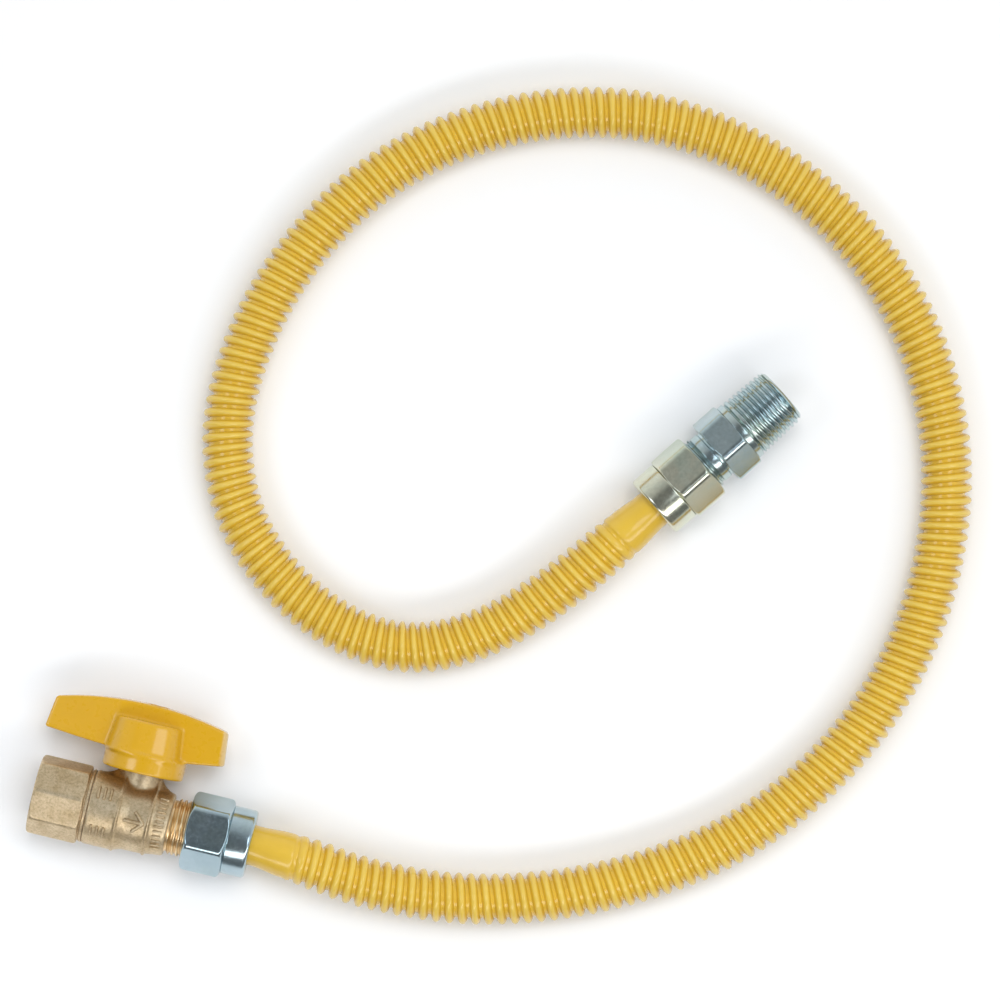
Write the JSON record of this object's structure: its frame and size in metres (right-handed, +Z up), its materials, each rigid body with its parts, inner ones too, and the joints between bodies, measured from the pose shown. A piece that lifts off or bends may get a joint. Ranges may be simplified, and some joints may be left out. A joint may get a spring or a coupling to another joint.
{
  "type": "gas valve",
  "caption": "Quarter-turn brass gas ball valve with a winged handle, a coated corrugated flexible connector, swivel flare nuts and a male pipe adapter.",
  "frame": {"origin": "centre of the inlet face of the valve, on its pipe axis", "axes": "+X along the pipe axis towards the hose, +Y up the valve's stem towards the handle, +Z up from the surface the assembly lies on"},
  "size_m": [0.2852, 0.2896, 0.0268],
  "materials": {
    "brass": "blasted forging, machined threads",
    "seal_white": "waxy, low-friction plastic",
    "seal_black": "smooth, matt",
    "ball_chrome": "polished plating",
    "handle_yellow": "glossy enamel",
    "zinc_steel": "bright zinc plating",
    "zinc_blue": "bright zinc plating with a blue tint",
    "zinc_yellow": "zinc plating with a yellow-green tint",
    "stainless": "bright annealed tube",
    "hose_yellow": "glossy coating"
  },
  "bodies": {
    "valve": {"valve_body": "brass", "inlet_end": "brass", "end_seal": "seal_white", "inlet_seat": "seal_white", "outlet_seat": "seal_white", "thrust_washer": "seal_white", "hose_liner": "stainless", "hose_jacket": "hose_yellow", "flare_adapter": "zinc_blue"},
    "handle_assembly": {"handle": "handle_yellow", "stem": "brass", "stem_o_ring_lower": "seal_black", "stem_o_ring_upper": "seal_black", "lock_washer": "zinc_steel", "handle_screw": "zinc_steel"},
    "shut_off_ball": {"ball": "ball_chrome"},
    "valve_side_nut": {"valve_nut": "zinc_blue"},
    "adapter_side_nut": {"adapter_nut": "zinc_yellow"}
  },
  "joints": [
    {"name": "handle_turn", "type": "hinge", "parent": "valve", "child": "handle_assembly", "pos_m": [0.033, 0, 0], "axis": [0, -1, 0], "range_deg": [0, 90]},
    {"name": "ball_turn", "type": "hinge", "parent": "valve", "child": "shut_off_ball", "pos_m": [0.033, 0, 0], "axis": [0, -1, 0], "range_deg": [0, 90]},
    {"name": "valve_nut_spin", "type": "hinge", "parent": "valve", "child": "valve_side_nut", "pos_m": [0.0517, 0, 0], "axis": [1, 0, 0], "continuous": true},
    {"name": "adapter_nut_spin", "type": "hinge", "parent": "valve", "child": "adapter_side_nut", "pos_m": [0.178, 0.1405, -0.0009], "axis": [0.5736, 0.8192, 0], "continuous": true}
  ],
  "couplings": [
    {"joint": "ball_turn", "follows": "handle_turn", "ratio": 1}
  ]
}
